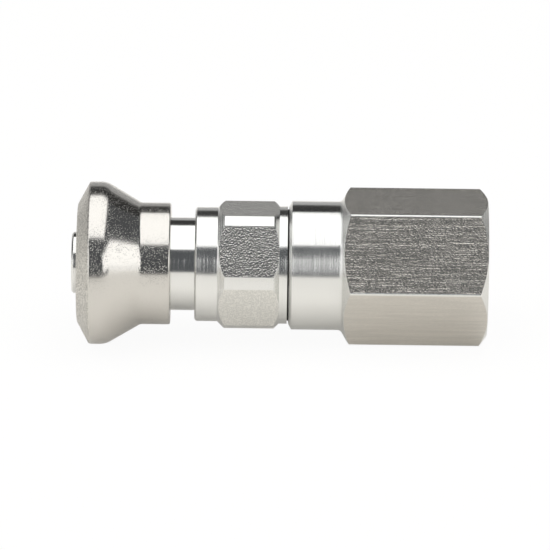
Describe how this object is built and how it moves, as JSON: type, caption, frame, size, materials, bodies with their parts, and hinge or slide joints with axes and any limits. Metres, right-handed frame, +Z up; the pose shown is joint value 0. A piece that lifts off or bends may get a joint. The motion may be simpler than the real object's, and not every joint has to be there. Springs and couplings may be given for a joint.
{
  "type": "quick coupling socket",
  "caption": "Socket half of a quick coupling: flared sliding sleeve, ball lock and sprung check valve in a hex body, with a hex pipe-thread end.",
  "frame": {"origin": "centre of the pipe thread's mouth, at the end face of the large hex", "axes": "+X along the axis, out of the thread's mouth; the plug goes in at the -X end; +Z up, square to a flat of the large hex"},
  "size_m": [0.0809, 0.0316, 0.0316],
  "materials": {
    "satin_steel": "satin",
    "turned_steel": "turned and polished",
    "polished_steel": "polished barrel, cold-drawn flats",
    "valve_steel": "turned",
    "spring_steel": "drawn",
    "ball_steel": "polished",
    "black_rubber": "matte",
    "white_plastic": "matte"
  },
  "bodies": {
    "body": {"coupling_body": "turned_steel", "end_adapter": "polished_steel", "snap_ring": "spring_steel", "plug_seal": "black_rubber", "plug_backup_ring": "white_plastic", "body_seal": "black_rubber", "valve_guide": "valve_steel", "sleeve_spring": "spring_steel", "valve_spring": "spring_steel"},
    "sleeve": {"release_sleeve": "satin_steel"},
    "poppet": {"valve_poppet": "valve_steel", "valve_seal": "black_rubber"},
    "ball_1": {"locking_ball_1": "ball_steel"},
    "ball_2": {"locking_ball_2": "ball_steel"},
    "ball_3": {"locking_ball_3": "ball_steel"},
    "ball_4": {"locking_ball_4": "ball_steel"},
    "ball_5": {"locking_ball_5": "ball_steel"},
    "ball_6": {"locking_ball_6": "ball_steel"},
    "ball_7": {"locking_ball_7": "ball_steel"},
    "ball_8": {"locking_ball_8": "ball_steel"}
  },
  "joints": [
    {"name": "sleeve_slide", "type": "slide", "parent": "body", "child": "sleeve", "axis": [1, 0, 0], "range_m": [0, 0.0045], "stiffness_N_per_m": 4000, "springref_m": -0.005, "deforming": ["sleeve_spring"]},
    {"name": "poppet_slide", "type": "slide", "parent": "body", "child": "poppet", "axis": [1, 0, 0], "range_m": [0, 0.003], "stiffness_N_per_m": 600, "springref_m": -0.008, "deforming": ["valve_spring"]},
    {"name": "ball_1_slide", "type": "slide", "parent": "body", "child": "ball_1", "axis": [0, 1, 0], "range_m": [0, 0.001]},
    {"name": "ball_2_slide", "type": "slide", "parent": "body", "child": "ball_2", "axis": [0, 0.7071, 0.7071], "range_m": [0, 0.001]},
    {"name": "ball_3_slide", "type": "slide", "parent": "body", "child": "ball_3", "axis": [0, 0, 1], "range_m": [0, 0.001]},
    {"name": "ball_4_slide", "type": "slide", "parent": "body", "child": "ball_4", "axis": [0, -0.7071, 0.7071], "range_m": [0, 0.001]},
    {"name": "ball_5_slide", "type": "slide", "parent": "body", "child": "ball_5", "axis": [0, -1, 0], "range_m": [0, 0.001]},
    {"name": "ball_6_slide", "type": "slide", "parent": "body", "child": "ball_6", "axis": [0, -0.7071, -0.7071], "range_m": [0, 0.001]},
    {"name": "ball_7_slide", "type": "slide", "parent": "body", "child": "ball_7", "axis": [0, 0, -1], "range_m": [0, 0.001]},
    {"name": "ball_8_slide", "type": "slide", "parent": "body", "child": "ball_8", "axis": [0, 0.7071, -0.7071], "range_m": [0, 0.001]}
  ],
  "couplings": [
    {"joint": "ball_1_slide", "follows": "sleeve_slide", "ratio": 0.22222},
    {"joint": "ball_2_slide", "follows": "sleeve_slide", "ratio": 0.22222},
    {"joint": "ball_3_slide", "follows": "sleeve_slide", "ratio": 0.22222},
    {"joint": "ball_4_slide", "follows": "sleeve_slide", "ratio": 0.22222},
    {"joint": "ball_5_slide", "follows": "sleeve_slide", "ratio": 0.22222},
    {"joint": "ball_6_slide", "follows": "sleeve_slide", "ratio": 0.22222},
    {"joint": "ball_7_slide", "follows": "sleeve_slide", "ratio": 0.22222},
    {"joint": "ball_8_slide", "follows": "sleeve_slide", "ratio": 0.22222}
  ]
}
